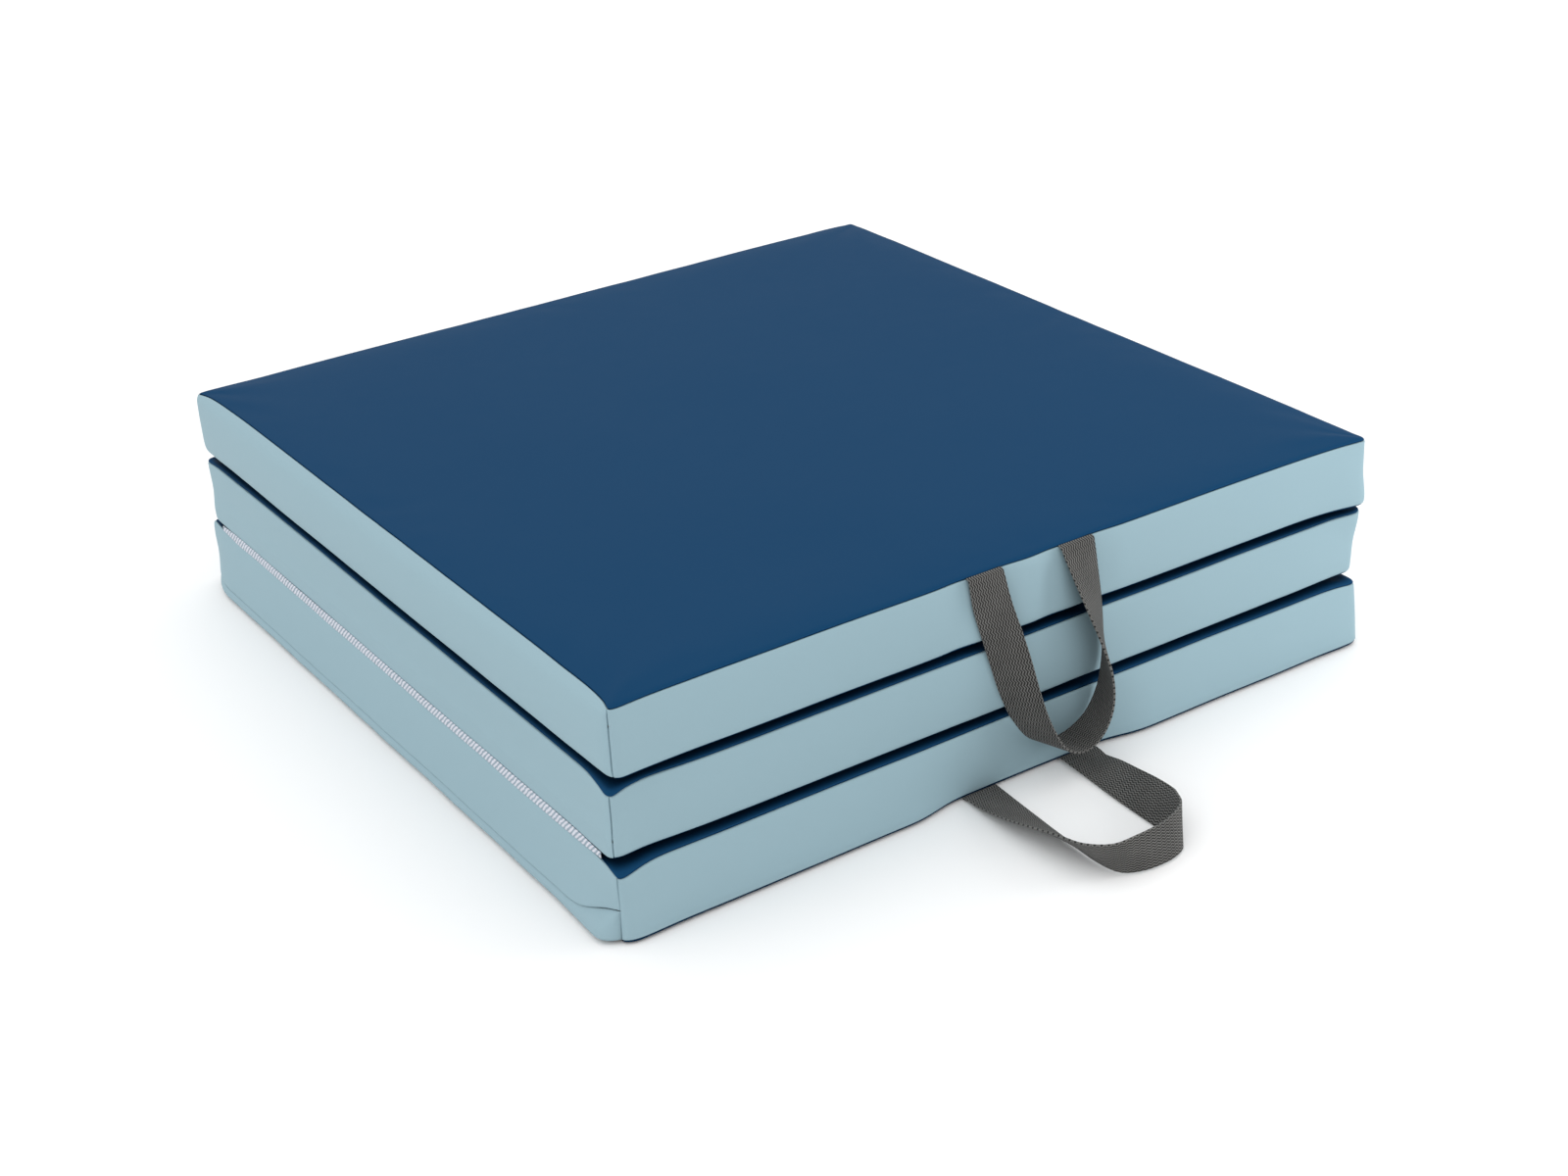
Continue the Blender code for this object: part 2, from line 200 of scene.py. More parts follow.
def stitched(name, ground, thread, pitch, slant):
    """Tape covered by slanting stitches of a paler thread."""
    m = Nodes(name)
    at = m.place()
    place = m.add("ShaderNodeSeparateXYZ", i0=at)
    wander = m.add("ShaderNodeTexNoise", Vector=at, Scale=220.0, Detail=2.0)
    slanted = m.math("ADD", place.outputs[1], m.math("MULTIPLY", place.outputs[2], slant))
    phase = m.math("ADD", m.math("DIVIDE", slanted, pitch), m.math("MULTIPLY", wander.outputs[0], 0.7))
    stroke = m.span(m.math("PINGPONG", phase, 0.5), 0.12, 0.34, 0.0, 1.0)
    fuzz = m.add("ShaderNodeTexNoise", Vector=at, Scale=1500.0, Detail=3.0)
    cover = m.math("MULTIPLY", stroke, m.span(fuzz.outputs[0], 0.3, 0.7, 0.6, 1.0))
    m.set(Base_Color=m.mix(cover, ground, thread), Roughness=0.8, Normal=m.bump(cover, 0.6, 0.0003))
    m.set(Specular_IOR_Level=0.2)
    return m.material


def plated(name):
    """Die-cast zinc with a nickel plate: brushed and faintly tarnished."""
    m = Nodes(name)
    at = m.place()
    brush = m.add("ShaderNodeTexNoise", Vector=at, Scale=900.0, Detail=3.0)
    stain = m.add("ShaderNodeTexNoise", Vector=at, Scale=160.0, Detail=4.0)
    m.set(Base_Color=m.mix(stain.outputs[0], (0.50, 0.51, 0.53, 1), (0.74, 0.75, 0.77, 1)))
    m.set(Metallic=1.0, Roughness=m.span(brush.outputs[0], 0.3, 0.7, 0.22, 0.42))
    m.set(Normal=m.bump(brush.outputs[0], 0.15, 0.00005))
    return m.material


def nylon(name):
    """The zip coils' nylon: smooth, and a little uneven in shade."""
    m = Nodes(name)
    wear = m.add("ShaderNodeTexNoise", Vector=m.place(), Scale=700.0, Detail=2.0)
    m.set(Base_Color=m.mix(wear.outputs[0], (0.42, 0.46, 0.55, 1), (0.60, 0.64, 0.72, 1)))
    m.set(Roughness=m.span(wear.outputs[0], 0.3, 0.7, 0.30, 0.45))
    m.set(Normal=m.bump(wear.outputs[0], 0.1, 0.00004))
    return m.material


def foam(name):
    """Open-cell foam: pale cream, with pores."""
    m = Nodes(name)
    at = m.place()
    cells = m.add("ShaderNodeTexVoronoi", Vector=at, Scale=900.0)
    patch = m.add("ShaderNodeTexNoise", Vector=at, Scale=30.0, Detail=5.0)
    pore = m.span(cells.outputs["Distance"], 0.1, 0.5, 0.0, 1.0)
    base = m.mix(patch.outputs[0], (0.76, 0.70, 0.52, 1), (0.84, 0.80, 0.66, 1))
    m.set(Base_Color=m.mix(pore, (0.55, 0.48, 0.32, 1), base), Roughness=0.95)
    m.set(Normal=m.bump(pore, 0.7, 0.0005))
    return m.material


# The slanting stitches of the fold tape, in the material and raised on the mesh.
STITCH_PITCH = 4.0 * MM
STITCH_SLANT = 1.0

# The navy's painted shade in gaps is strong, and the pale blue's is mild.
NAVY = vinyl("navy_vinyl", (0.0061, 0.0455, 0.1130, 1), worn=(0.014, 0.075, 0.170, 1),
             roughness=0.48, shine=0.02, shade_keep=0.25, shade_onset=0.36)
PALE = vinyl("pale_blue_vinyl", (0.280, 0.402, 0.454, 1), worn=(0.38, 0.51, 0.56, 1),
             roughness=0.46, shine=0.05, shade_keep=0.75, shade_onset=0.15)
WEBBING = twill("webbing", (0.140, 0.139, 0.131, 1), thread=(0.300, 0.297, 0.284, 1),
                dark=(0.004, 0.004, 0.004, 1), rib_pitch=1.9 * MM, zigzag=2.1 * MM)
FOLD_TAPE = stitched("fold_tape", (0.265, 0.330, 0.390, 1), thread=(0.70, 0.70, 0.76, 1),
                     pitch=STITCH_PITCH, slant=STITCH_SLANT)
ZIP_TAPE = tape_cloth("zip_tape", (0.28, 0.42, 0.50, 1), (0.40, 0.54, 0.62, 1))
ZINC = plated("zip_metal")
COIL = nylon("zip_coil")
FOAM = foam("foam")


# ---------------------------------------------------------------------------------------------------
# Mesh helpers
# ---------------------------------------------------------------------------------------------------


def new_mesh(name, points, faces, material):
    """A smooth-shaded object from its points and faces."""
    mesh = bpy.data.meshes.new(name)
    mesh.from_pydata([tuple(p) for p in points], [], faces)
    mesh.update()
    mesh.shade_smooth()
    mesh.materials.append(material)
    obj = bpy.data.objects.new(name, mesh)
    bpy.context.scene.collection.objects.link(obj)
    return obj


def strip_faces(rows, columns):
    """The faces of a strip, whose points are given row by row."""
    return [
        (k * columns + j, k * columns + j + 1, (k + 1) * columns + j + 1, (k + 1) * columns + j)
        for k in range(rows - 1)
        for j in range(columns - 1)
    ]


def thicken(obj, thickness, offset=-1.0):
    """Gives a surface a thickness: inwards with offset -1, or to both sides with offset 0."""
    solid = obj.modifiers.new("ply", "SOLIDIFY")
    solid.thickness = thickness
    solid.offset = offset
    solid.use_quality_normals = True


def subdivide(obj):
    smooth = obj.modifiers.new("soften", "SUBSURF")
    smooth.levels = smooth.render_levels = 1


def bake(obj):
    """Applies an object's modifiers."""
    evaluated = obj.evaluated_get(bpy.context.evaluated_depsgraph_get())
    mesh = bpy.data.meshes.new_from_object(evaluated)
    obj.modifiers.clear()
    obj.data = mesh
    return obj


def fractions(steps, sharp=1.0):
    """Values from 0 to 1, closer together near both ends."""
    even = np.linspace(0, 1, steps + 1)
    return (1 - sharp) * even + sharp * (0.5 - 0.5 * np.cos(math.pi * even))


def graded(length, first, growth, biggest):
    """Places along a length, fine at both ends and even in the middle."""
    steps = [first]
    while steps[-1] * growth < biggest:
        steps.append(steps[-1] * growth)
    ends = np.concatenate([[0], np.cumsum(steps)])
    middle = np.linspace(ends[-1], length - ends[-1], math.ceil((length - 2 * ends[-1]) / biggest) + 1)
    return np.concatenate([ends[:-1], middle, (length - ends[:-1])[::-1]])


def arch(share):
    """A full curve over a wall, 0 at its two edges and 1 half way up. share is the height's share of it."""
    return (4 * share * (1 - share)) ** 0.7


def ripple(points, scale, seed):
    """Smooth noise between -1 and 1 at each point."""
    shift = Vector((seed * 7.31, seed * 3.17, seed * 5.77))
    return np.array([noise.noise(Vector(p) * scale + shift) for p in points])


def ease(t):
    """0 up to 0, 1 from 1 on, and smooth between them."""
    t = np.clip(t, 0, 1)
    return t * t * (3 - 2 * t)


# ---------------------------------------------------------------------------------------------------
# Panel covers
# ---------------------------------------------------------------------------------------------------

COLUMNS = graded(2 * HALF, 0.9 * MM, 1.5, 9.5 * MM) / HALF - 1
SIDE = len(COLUMNS) - 1
ROUND = 4 * SIDE
INSET = 14 * MM
SHEET_ROWS = np.array([0, 0.25, 0.45, 0.62, 0.76, 0.87, 0.95, 1])
LONG_ROWS = fractions(11, 0.8)
SHORT_ROWS = fractions(11, 0.5)
CORNER_COLUMNS = 6
# At the foot and at the top of a panel's upright corners.
CORNER_RADII = (9 * MM, 5 * MM)
PLY = 0.8 * MM

# A seam's edges roll inwards, pass under their neighbours and turn in. The lips of a zip stay apart instead.
SEAM_ROLL = 0.6 * MM
SEAM_TUCK = 0.6 * MM
TURN_IN = 1.7 * MM
LIP_GAP = 0.5 * MM
LIP_TURN = 0.9 * MM

# For each panel, by wall (front, right, back, left), in mm: how far down from the top edge the upper seam
# is, how far up from the bottom edge the lower seam is, the radii of the two rolled edges, how far the
# middle of the wall bulges, and how far its bottom edge leans out.
SHAPES = {
    "upper": dict(top=(1.6, 2.2, 2.4, -5.5), bottom=(1.0, -1.0, -2.0, -2.5), top_roll=(2.6, 4, 4, 7),
                  bottom_roll=(5, 2, 7, 8), bulge=(3.0, 1.0, 3.0, 4.5), lean=(1.0, 0, 1.0, 1.0)),
    "middle": dict(top=(1.8, -1.0, 2.4, 1.6), bottom=(1.0, 1.2, -2.0, -1.5), top_roll=(4, 2, 5, 4),
                   bottom_roll=(5, 5, 6, 2), bulge=(2.0, 1.0, 2.4, 0.9), lean=(0, 0, 0, 0)),
    "lower": dict(top=(1.8, 2.4, 2.4, -1.0), bottom=(2.8, 2.4, 2.4, 1.0), top_roll=(4, 4, 5, 2),
                  bottom_roll=(3.5, 4, 4, 3), bulge=(2.0, 3.0, 3.0, 0.6), lean=(7.5, 3.0, 4.0, 0)),
}

# For each panel, by corner (front left, front right, back right, back left), in mm: how the top and the
# bottom of the corner are pulled, in x and y, and how far the sewn corner droops.
CORNERS = {
    "upper": (((0, -1.5), (0, -1.0), 0.8), ((0, -3.0), (0, -5.0), 0.5), ((0, 0), (0, 0), 1.0),
              ((-2.0, 1.5), (-1.0, 2.0), 0.5)),
    "middle": (((-1.0, 4.0), (-1.0, 3.0), 3.6), ((0, 0), (0, 0), 1.0), ((0, 0), (0, 0), 1.5),
               ((-0.5, 5.0), (0, 2.0), 1.0)),
    "lower": (((-1.0, 0.0), (-2.5, -1.5), 3.0), ((0, -2.0), (1.0, -1.0), 1.0), ((0, 0), (0, 0), 1.5),
              ((-0.5, 6.0), (-1.0, 8.0), -1.5)),
}
CORNER_REACH = 36 * MM
DROOP_REACH = 15 * MM
SEAM_DROOP = 1.1
EDGE_DROOP = 0.8

# The lowest panel's bottom edge hardly leans out between these places, where its handle is sewn in.
LOWER_HANDLE = (-48 * MM, 62 * MM)
LOWER_HANDLE_FADE = 45 * MM
HELD_LEAN = 0.06

# The lowest panel's zip climbs as it nears the front left corner, from this far from the wall's middle. It
# comes down again on the front wall, over a share of half the wall's length.
ZIP_CLIMB = 9.5 * MM
CLIMB_FROM = 0.268
CLIMB_TURN = 0.06


def wall_values(values):
    """A setting in mm for each wall, as a value in metres for each column, eased across the corners."""
    out = np.repeat(np.array(values, float), SIDE)
    for corner, after in enumerate(values):
        before = values[corner - 1]
        for step in range(-CORNER_COLUMNS, CORNER_COLUMNS + 1):
            t = ease((step + CORNER_COLUMNS) / (2 * CORNER_COLUMNS))
            out[(corner * SIDE + step) % ROUND] = before + (after - before) * t
    return out * MM


def round_corner(plan, half, radius):
    """Points on a sharp square moved to a square with round corners, and their outward directions."""
    inner = np.clip(plan, -(half - radius), half - radius)
    away = plan - inner
    length = np.maximum(np.linalg.norm(away, axis=1), 1e-9)[:, None]
    return inner + away / length * radius, away / length


def around():
    """The outline's columns as wall number, and place along the wall from -1 to 1."""
    walls = np.repeat(np.arange(4), SIDE)
    return walls, np.tile(COLUMNS[:-1], 4)


def turn(plan, walls):
    """Turns points or directions given for the front wall to their own walls."""
    x, y = plan[:, 0], plan[:, 1]
    cos, sin = np.array([1, 0, -1, 0])[walls], np.array([0, 1, 0, -1])[walls]
    return np.stack([x * cos - y * sin, x * sin + y * cos], axis=1)


class Cover:
    """One panel's cover as a closed surface: two square grids joined by rows that run round the walls."""

    def __init__(self, name):
        self.name = name
        self.base = BASES[name]
        self.shape = SHAPES[name]
        self.zip_wall = LEFT if name == "lower" else RIGHT
        self.zip_up = zip_height(name)
        self.walls, self.along = around()
        self.rows = self.profile_rows()
        self.points = np.array(self.surface())
        self.faces = self.surface_faces()

    def profile_rows(self):
        """How far down the wrap each row is, in each column.

        Below 0 is on the top face, and beyond THICK is on the underside.
        """
        top = wall_values(self.shape["top"]) + self.droop() * SEAM_DROOP
        bottom = THICK - wall_values(self.shape["bottom"])
        split = THICK - self.zip_line()
        long_above = self.zip_up < THICK / 2
        above, below = (LONG_ROWS, SHORT_ROWS) if long_above else (SHORT_ROWS, LONG_ROWS)
        rows = [-INSET + (top + INSET) * f for f in SHEET_ROWS]
        self.seam_top = len(rows) - 1
        rows += [top + (split - top) * f for f in above[1:]]
        self.split = len(rows) - 1
        rows += [split + (bottom - split) * f for f in below[1:]]
        self.seam_bottom = len(rows) - 1
        rows += [THICK + INSET + (bottom - THICK - INSET) * f for f in SHEET_ROWS[::-1][1:]]
        return np.array(rows)

    def droop(self):
        """How far the sewn corners sag, in each column."""
        out = np.zeros(ROUND)
        for corner, (_, _, sag) in enumerate(CORNERS[self.name]):
            steps = (np.arange(ROUND) - corner * SIDE + ROUND // 2) % ROUND - ROUND // 2
            away = (COLUMNS[np.clip(np.abs(steps), 0, SIDE)] + 1) * HALF
            out += sag * MM * np.exp(-((away / DROOP_REACH) ** 2))
        return out

    def standing_out(self):
        """How far the bottom edge leans out in each column. The lowest panel's is held in at its handle."""
        lean = wall_values(self.shape["lean"])
        if self.name == "lower":
            x = self.along * HALF
            low, high = LOWER_HANDLE
            free = np.maximum(ease((low - x) / LOWER_HANDLE_FADE), ease((x - high) / LOWER_HANDLE_FADE))
            lean = np.where(self.walls == FRONT, lean * (HELD_LEAN + (1 - HELD_LEAN) * free), lean)
        return lean

    def pull_corners(self, points):
        """Pulls the corners of the panel in or out, and lets them droop."""
        for corner, (top, bottom, sag) in enumerate(CORNERS[self.name]):
            place = np.array(((-1, -1), (1, -1), (1, 1), (-1, 1))[corner]) * HALF
            away = np.linalg.norm(points[:, :2] - place, axis=1)
            share = ((points[:, 2] - self.base) / THICK)[:, None]
            near = np.exp(-((away / CORNER_REACH) ** 2))[:, None]
            points[:, :2] += near * (np.array(top) * share + np.array(bottom) * (1 - share)) * MM
            points[:, 2] -= np.exp(-((away / DROOP_REACH) ** 2)) * share[:, 0] * sag * MM * EDGE_DROOP
        return points

    def zip_line(self):
        """The height of the zip slit round the panel. On the lowest panel it climbs at the front corner."""
        line = np.full(ROUND, self.zip_up)
        if self.name == "lower":
            climb = ease((self.along * HALF - CLIMB_FROM) / (HALF - CLIMB_FROM))
            fall = ease(1 - (self.along + 1) / CLIMB_TURN)
            line += ZIP_CLIMB * np.select([self.walls == LEFT, self.walls == FRONT], [climb, fall])
        return line

    def surface(self):
        """The points of the wrap's rows, and then those of the grids on the top and underneath."""
        points = []
        rolls = wall_values(self.shape["top_roll"]), wall_values(self.shape["bottom_roll"])
        bulge = wall_values(self.shape["bulge"])
        lean = self.standing_out()
        for row in self.rows:
            inset = np.maximum(np.maximum(-row, row - THICK), 0)
            height = np.clip(THICK - row, 0, THICK)
            for roll, top in zip(rolls, (True, False)):
                centre = THICK - roll if top else roll
                beyond = (height - centre) if top else (centre - height)
                near = (beyond > 0) & (inset < roll)
                a, b = inset - roll, np.where(near, beyond, 0)
                length = np.maximum(np.hypot(a, b), 1e-9)
                inset = np.where(near, roll + a / length * roll, inset)
                height = np.where(near, centre + (b if top else -b) / length * roll, height)
            half = HALF - inset
            share = np.clip(height / THICK, 0, 1)
            low_radius, high_radius = CORNER_RADII
            radius = np.maximum(low_radius + (high_radius - low_radius) * share - inset, 1e-6)
            sharp = np.stack([self.along * half, -half], axis=1)
            moved, out = zip(*(round_corner(p[None], h, r) for p, h, r in zip(sharp, half, radius)))
            plan = turn(np.concatenate(moved), self.walls)
            out = turn(np.concatenate(out), self.walls)
            swell = bulge * arch(share) * (1 - self.along**8)
            swell += lean * (1 - share) ** 0.8 * (1 - np.clip(inset / INSET, 0, 1))
            plan = plan + out * swell[:, None]
            points.append(np.column_stack([plan, self.base + height]))
        for height in (THICK, 0):
            grid = np.array([(x, y) for x in COLUMNS for y in COLUMNS]) * (HALF - INSET)
            points.append(np.column_stack([grid, np.full(len(grid), self.base + height)]))
        return self.pull_corners(np.concatenate(points))

    def ring(self, row, column):
        return row * ROUND + column % ROUND

    def grid(self, ix, iy, under):
        """A point of a face's grid. Its outermost points are those of the nearest row round the panel."""
        edges = {0: (iy == 0, ix), 1: (ix == SIDE, iy), 2: (iy == SIDE, SIDE - ix), 3: (ix == 0, SIDE - iy)}
        for wall, (here, step) in edges.items():
            if here:
                return self.ring(len(self.rows) - 1 if under else 0, wall * SIDE + step)
        return len(self.rows) * ROUND + (under * (SIDE + 1) + ix) * (SIDE + 1) + iy

    def grid_faces(self, under):
        faces = []
        for ix in range(SIDE):
            for iy in range(SIDE):
                face = [self.grid(ix + a, iy + b, under) for a, b in ((0, 0), (1, 0), (1, 1), (0, 1))]
                faces.append(tuple(face[::-1] if under else face))
        return faces

    def row_faces(self, first, last, start=0, stop=ROUND):
        return [
            (self.ring(j, i), self.ring(j + 1, i), self.ring(j + 1, i + 1), self.ring(j, i + 1))
            for j in range(first, last)
            for i in range(start, stop)
        ]

    def surface_faces(self):
        return self.grid_faces(False) + self.row_faces(0, len(self.rows) - 1) + self.grid_faces(True)

    def closed_mesh(self, name, material):
        """The whole surface as one object, without the grids' unused outermost points."""
        used = sorted({i for face in self.faces for i in face})
        place = {old: new for new, old in enumerate(used)}
        faces = [tuple(place[i] for i in face) for face in self.faces]
        return new_mesh(name, self.points[used], faces, material), used

    def normals(self):
        """The surface's outward direction at each point that is used."""
        obj, used = self.closed_mesh("shape", FOAM)
        out = np.zeros((len(self.points), 3))
        out[used] = [v.normal for v in obj.data.vertices]
        bpy.data.objects.remove(obj)
        return out


# The edges that a fold tape joins: the side (-1 left, 1 right), and 0 for the bottom edge or 1 for the top.
# The cover doesn't swell within FOLD_HELD of such an edge, and swells freely from FOLD_FREE further on.
FOLD_EDGES = {"lower": ((-1, 1),), "middle": ((-1, 0), (1, 1)), "upper": ((1, 0),)}
FOLD_HELD = 6 * MM
FOLD_FREE = 22 * MM


def inflate(covers, frames=20, cap=2.2 * MM):
    """Swells each cover like a stuffed pad, by cloth simulation, with a cap and with the folds held."""
    shells = []
    for cover in covers:
        obj, used = cover.closed_mesh(f"{cover.name}_cloth", PALE)
        cloth = obj.modifiers.new("cloth", "CLOTH")
        settings = cloth.settings
        settings.quality = 4
        settings.mass = 0.4
        settings.tension_stiffness = settings.compression_stiffness = 30
        settings.shear_stiffness = 12
        settings.bending_stiffness = 2
        settings.use_pressure = True
        settings.uniform_pressure_force = 4
        settings.effector_weights.gravity = 0
        cloth.point_cache.frame_start, cloth.point_cache.frame_end = 1, frames
        shells.append((cover, obj, used))
    for step in range(1, frames + 1):
        bpy.context.scene.frame_set(step)
    graph = bpy.context.evaluated_depsgraph_get()
    for cover, obj, used in shells:
        after = np.array([v.co for v in obj.evaluated_get(graph).data.vertices])
        move = after - cover.points[used]
        size = np.maximum(np.linalg.norm(move, axis=1), 1e-9)[:, None]
        at = cover.points[used]
        free = np.ones(len(used))
        for side, up in FOLD_EDGES[cover.name]:
            away = np.hypot(at[:, 0] - side * HALF, at[:, 2] - cover.base - up * THICK)
            free *= ease((away - FOLD_HELD) / FOLD_FREE)
        cover.points[used] += move / size * np.tanh(size / cap) * cap * free[:, None]
        bpy.data.objects.remove(obj)
    bpy.context.scene.frame_set(1)


covers = {name: Cover(name) for name in BASES}
inflate(list(covers.values()))


SEEDS = {"lower": 1, "middle": 2, "upper": 3}

# Small waves: their scale, and how far they move the front and back walls, the side walls and the top face.
WALL_WAVES = 13
FRONT_WAVE = 0.9 * MM
SIDE_WAVE = 0.6 * MM
TOP_WAVES = 9
TOP_WAVE = 0.7 * MM
WALL_EDGE = 6 * MM
TOP_EDGE = 40 * MM

# The upper handle is sewn in at two seams. The wall is dented beside each, and flat behind the loop.
HANDLE_SEAMS = (-30 * MM, 44 * MM)
DENT_OFF = 19 * MM
DENT_WIDTH = 8 * MM
DENT_DEPTH = 4.5 * MM
HANDLE_REACH = (-46 * MM, 66 * MM)
HANDLE_FADE = 40 * MM
HANDLE_WALL = 0.1 * MM
MOST_BULGE = 8 * MM
FRONT_ZONE = 8 * MM

# How far a panel's faces may stand above and below it.
MOST_RISE = {"lower": 1.6 * MM, "middle": 1.6 * MM, "upper": 3.0 * MM}
MOST_DROP = {"lower": 0, "middle": 1.6 * MM, "upper": 1.6 * MM}
SOFT_STOP = 1.0 * MM

# How far a wall with a fold tape may stand out: near the tape, how much more away from it, and how much more
# again at the lowest panel's foot.
TAPE_WALL = 0.2 * MM
FREE_WALL = 1.3 * MM
TAPE_ZONE = 5 * MM
TAPE_FADE = 14 * MM
FOOT_OUT = 2.0 * MM


def wave_walls(cover, x, y, z):
    """Gives the walls their small waves."""
    p = cover.points
    wave = ripple(np.column_stack([x, y, z * 0.4]), WALL_WAVES, SEEDS[cover.name])
    wall = np.clip((np.maximum(np.abs(x), np.abs(y)) - HALF + WALL_EDGE) / WALL_EDGE, 0, 1)
    p[:, 1] += np.where(np.abs(y) > np.abs(x), np.sign(y), 0) * wave * wall * FRONT_WAVE
    p[:, 0] += np.where(np.abs(x) > np.abs(y), np.sign(x), 0) * wave * wall * SIDE_WAVE


def fit_handles(cover, x, y, z):
    """Dents the wall beside the upper handle's seams, and holds the walls in behind its loop."""
    p = cover.points
    if cover.name == "upper":
        for seam in HANDLE_SEAMS:
            for side in (-1, 1):
                near = np.exp(-(((x - seam - side * DENT_OFF) / DENT_WIDTH) ** 2))
                dent = near * arch(np.clip(z / THICK, 0, 1)) * DENT_DEPTH
                p[:, 1] += np.where(y < -HALF + FRONT_ZONE, dent, 0)
    if cover.name != "lower":
        low, high = HANDLE_REACH
        free = np.maximum(ease((low - x) / HANDLE_FADE), ease((x - high) / HANDLE_FADE))
        p[:, 1] = np.maximum(p[:, 1], -HALF - HANDLE_WALL - free * MOST_BULGE)


def limit_heights(cover, x, y, z):
    """Waves the top face of the stack, and keeps each panel clear of those above and below."""
    p = cover.points
    if cover.name == "upper":
        inside = np.clip(np.minimum(HALF - np.abs(x), HALF - np.abs(y)) / TOP_EDGE, 0, 1)
        p[:, 2] += np.where(z > THICK / 2, ripple(p, TOP_WAVES, SEEDS[cover.name]) * inside * TOP_WAVE, 0)
    above = np.maximum(p[:, 2] - cover.base - THICK - MOST_RISE[cover.name] + SOFT_STOP, 0)
    p[:, 2] += np.tanh(above / SOFT_STOP) * SOFT_STOP - above
    p[:, 2] = np.maximum(p[:, 2], cover.base - MOST_DROP[cover.name])


def limit_fold_walls(cover, z):
    """Keeps the walls with a fold tape from meeting when the mat lies unfolded.

    The middle panel's left wall, which faces the lowest panel's flap then, doesn't stand out at all.
    """
    p = cover.points
    for side, up in FOLD_EDGES[cover.name]:
        from_tape = np.abs(z - up * THICK)
        reach = HALF + TAPE_WALL + FREE_WALL * ease((from_tape - TAPE_ZONE) / TAPE_FADE)
        if cover.name == "lower":
            reach += FOOT_OUT * np.clip(1 - z / (THICK / 3), 0, 1)
        elif side < 0:
            reach = HALF
        p[:, 0] -= side * np.maximum(p[:, 0] * side - reach, 0)


for cover in covers.values():
    x, y = cover.points[:, 0].copy(), cover.points[:, 1].copy()
    z = cover.points[:, 2] - cover.base
    wave_walls(cover, x, y, z)
    fit_handles(cover, x, y, z)
    limit_heights(cover, x, y, z)
    limit_fold_walls(cover, z)


# ---------------------------------------------------------------------------------------------------
# The cover's pieces, cut from each surface at its seams
# ---------------------------------------------------------------------------------------------------


def cut_piece(cover, name, faces, material, node, body, move=None):
    """A piece of the cover as a thin closed shell. Its edges turn in at the seams, under its neighbours.

    move is how far each of the cover's points is shifted for this piece alone.
    """
    used = sorted({i for face in faces for i in face})
    place = {old: new for new, old in enumerate(used)}
    source = cover.points if move is None else cover.points + move
    points = [source[i] for i in used]
    local = [tuple(place[i] for i in face) for face in faces]
    edges = {}
    for face in local:
        for a, b in zip(face, face[1:] + face[:1]):
            edges[(a, b)] = face
    border = [(a, b) for a, b in edges if (b, a) not in edges]
    rim = {a for a, _ in border} | {b for _, b in border}
    inward = {i: Vector((0, 0, 0)) for i in rim}
    for a, b in border:
        centre = sum((Vector(points[i]) for i in edges[(a, b)]), Vector()) / 4
        for i in (a, b):
            inward[i] += (centre - Vector(points[i])).normalized()
    start = {i: Vector(points[i]) for i in rim}
    depth = {}
    for i in rim:
        n = Vector(cover.normal[used[i]])
        pull = inward[i] - inward[i].dot(n) * n
        pull.normalize()
        points[i] = start[i] + pull * SEAM_ROLL - n * SEAM_ROLL * 0.3
        depth[i] = len(points)
        tuck, turn_in = (-LIP_GAP, LIP_TURN) if used[i] // ROUND == cover.split else (SEAM_TUCK, TURN_IN)
        points.append(start[i] - pull * tuck - n * turn_in)
    local += [(b, a, depth[a], depth[b]) for a, b in border]
    obj = new_mesh(name, points, local, material)
    thicken(obj, PLY)
    subdivide(obj)
    bake(obj)
    obj.data.shade_smooth()
    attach(obj, body)
    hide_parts(node)
    return obj


# The lowest panel's zip wall: how far the flap would stand out at the foot of the wall, how far its lip
# hangs down over the zip, and how far the roll of cloth under it stands out. Both waver.
FLAP_OUT = 16 * MM
FLAP_HANG = 3.2 * MM
ROLL_OUT = 12.9 * MM
LIP_WAVE_OUT = 1.2 * MM
LIP_WAVE_UP = 1.3 * MM
ROLL_WAVE = 0.9 * MM
ROLL_CORNER = 0.3 * MM
# The roll's upper lip lies this far inside the flap's and this far above it.
LIP_OVER = (1.6 * MM, 0.6 * MM)
# How far from the wall's ends the flap reaches its full depth, at the front and at the back, and the roll's.
FLAP_ENDS = (52 * MM, 40 * MM)
ROLL_END = 11 * MM
# How far above the slit the flap's lip still wavers.
LIP_REACH = 14 * MM
# The roll starts this far above the floor, and is full this much higher.
ROLL_FOOT = (0.8 * MM, 2.4 * MM)
# The two pieces that hang out, each with two values that nothing reads: how far outside the panel's side the
# plane is that they would flatten towards as the fold opens, and how much of their depth would be left, so
# that they would keep clear of the slider's bail. Nothing flattens them.
FLATTENED = {"zip_band_above": (0.3 * MM, 0.36), "zip_band_below": (1.6 * MM, 0.2)}


def rounded(distance, reach, power=1.0):
    """From 0 at distance 0 to 1 at reach, along a parabola, or with power 0.5 along a quarter circle."""
    return (1 - (1 - np.clip(distance / reach, 0, 1)) ** 2) ** power


def lip_wave(y):
    """The waver of the zip's lips along the wall."""
    long_wave = noise.noise(Vector((y * 16, 4.2, 0)))
    return long_wave + 0.6 * noise.noise(Vector((y * 45, 1.7, 0)))


